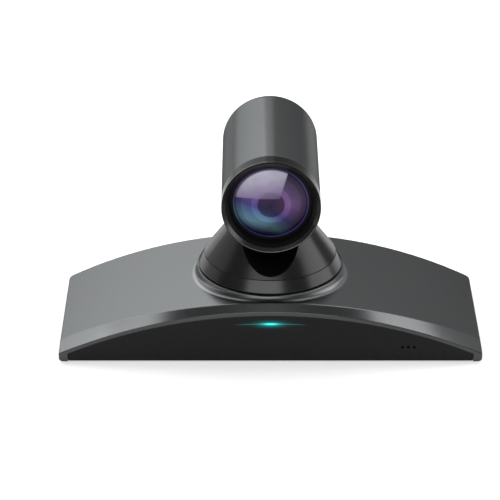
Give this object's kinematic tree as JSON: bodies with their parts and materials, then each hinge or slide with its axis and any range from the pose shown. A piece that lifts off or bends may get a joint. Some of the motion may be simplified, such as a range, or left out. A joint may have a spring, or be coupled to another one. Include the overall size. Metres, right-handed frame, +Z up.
{
  "type": "ptz camera",
  "caption": "Pan-tilt-zoom conference camera: barrel head with a large front lens on a conical pedestal, above a wide arched base with a status light bar and rear sockets.",
  "frame": {"origin": "on the pan axis, at the level of the feet's undersides, which is the middle of the bounding box's bottom", "axes": "+X to the right along the bar as seen from the front, +Y to the back, +Z up; the lens looks along -Y"},
  "size_m": [0.38, 0.159, 0.1978],
  "materials": {
    "shell_grey": "satin dark grey anodised",
    "panel_black": "gloss smoked black",
    "cover_black": "satin black",
    "bezel_black": "satin black",
    "shroud_black": "matt black",
    "tray_black": "fine texture",
    "light_cyan": "emissive",
    "rubber_black": "matt",
    "board_green": "solder mask",
    "chip_black": "moulded",
    "sink_aluminium": "black anodised",
    "cast_aluminium": "cast, machined faces",
    "zinc_steel": "zinc plated",
    "screw_steel": "black oxide",
    "port_metal": "nickel plated",
    "port_black": "moulded",
    "brass_insert": "turned",
    "bearing_steel": "ground",
    "gear_white": "acetal",
    "bronze_bush": "sintered",
    "cable_black": "jacket",
    "front_glass": "coated",
    "inner_glass": "coated",
    "filter_glass": "coated"
  },
  "bodies": {
    "base": {"top_shell": "shell_grey", "front_panel": "panel_black", "bottom_tray": "tray_black", "rear_panel": "tray_black", "network_insert": "tray_black", "rubber_feet": "rubber_black", "light_guide": "light_cyan", "led_board": "board_green", "mic_board": "board_green", "ir_receiver": "chip_black", "main_board": "board_green", "main_board_chips": "chip_black", "heat_sink": "sink_aluminium", "hdmi_ports": "port_metal", "usb_port": "port_metal", "lan_port": "port_black", "dc_jack": "port_black", "audio_jacks": "port_black", "cable_harness": "cable_black", "tripod_insert": "brass_insert", "tray_screws": "screw_steel", "pan_bracket": "zinc_steel", "bracket_standoffs": "brass_insert", "pan_bearing_outer": "bearing_steel", "pan_motor": "zinc_steel"},
    "reset": {"reset_button": "port_black"},
    "bearing_cage": {"pan_ball_cage": "bearing_steel"},
    "pinion": {"pan_pinion": "gear_white"},
    "pedestal": {"turntable": "cast_aluminium", "pan_bearing_inner": "bearing_steel", "pan_gear": "gear_white", "hub_nut": "zinc_steel", "skirt_ring": "cover_black", "pedestal_cover": "cover_black", "inner_shroud": "shroud_black", "yoke_frame": "zinc_steel", "yoke_screws": "screw_steel", "tilt_motor": "zinc_steel", "tilt_belt": "rubber_black", "tilt_bushings": "bronze_bush"},
    "belt_pulley": {"tilt_motor_pulley": "sink_aluminium"},
    "head": {"barrel_shell": "shell_grey", "rear_cap": "shell_grey", "front_bezel": "bezel_black", "front_lens": "front_glass", "lens_housing": "chip_black", "guide_rods": "bearing_steel", "lens_motors": "zinc_steel", "sensor_board": "board_green", "camera_board": "board_green", "head_chassis": "cast_aluminium", "tilt_shafts": "bearing_steel", "tilt_pulley": "sink_aluminium"},
    "zoom_group": {"zoom_carriage": "chip_black", "zoom_lens": "inner_glass"},
    "zoom_drive": {"zoom_screw": "bearing_steel"},
    "focus_group": {"focus_carriage": "chip_black", "focus_lens": "inner_glass"},
    "focus_drive": {"focus_screw": "bearing_steel"},
    "night_filter": {"ir_cut_filter": "filter_glass"}
  },
  "joints": [
    {"name": "pan", "type": "hinge", "parent": "base", "child": "pedestal", "pos_m": [0, 0, 0.0305], "axis": [0, 0, 1], "range_deg": [-170, 170]},
    {"name": "tilt", "type": "hinge", "parent": "pedestal", "child": "head", "pos_m": [0, 0, 0.1543], "axis": [-1, 0, 0], "range_deg": [-25, 25]},
    {"name": "pan_pinion_spin", "type": "hinge", "parent": "base", "child": "pinion", "pos_m": [-0.0504, 0, 0.041], "axis": [0, 0, 1], "range_deg": [-1021, 1021]},
    {"name": "cage_roll", "type": "hinge", "parent": "base", "child": "bearing_cage", "pos_m": [0, 0, 0.0305], "axis": [0, 0, 1], "range_deg": [-79, 79]},
    {"name": "tilt_pulley_spin", "type": "hinge", "parent": "pedestal", "child": "belt_pulley", "pos_m": [0.0198, 0, 0.092], "axis": [-1, 0, 0], "range_deg": [-51, 51]},
    {"name": "zoom", "type": "slide", "parent": "head", "child": "zoom_group", "axis": [0, -1, 0], "range_m": [0, 0.022]},
    {"name": "zoom_screw_spin", "type": "hinge", "parent": "head", "child": "zoom_drive", "pos_m": [-0.009, 0, 0.1783], "axis": [0, -1, 0], "range_deg": [-1, 1981]},
    {"name": "focus", "type": "slide", "parent": "head", "child": "focus_group", "axis": [0, -1, 0], "range_m": [-0.005, 0.005]},
    {"name": "focus_screw_spin", "type": "hinge", "parent": "head", "child": "focus_drive", "pos_m": [0.009, 0, 0.1783], "axis": [0, -1, 0], "range_deg": [-451, 451]},
    {"name": "filter_shift", "type": "slide", "parent": "head", "child": "night_filter", "axis": [-1, 0, 0], "range_m": [0, 0.012]},
    {"name": "reset_press", "type": "slide", "parent": "base", "child": "reset", "axis": [0, -1, 0], "range_m": [0, 0.0008], "stiffness_N_per_m": 300, "springref_m": -0.0005}
  ],
  "couplings": [
    {"joint": "pan_pinion_spin", "follows": "pan", "ratio": -6},
    {"joint": "cage_roll", "follows": "pan", "ratio": 0.46154},
    {"joint": "tilt_pulley_spin", "follows": "tilt", "ratio": 2},
    {"joint": "zoom_screw_spin", "follows": "zoom", "rad_per_m": 1570.8},
    {"joint": "focus_screw_spin", "follows": "focus", "rad_per_m": 1570.8}
  ]
}
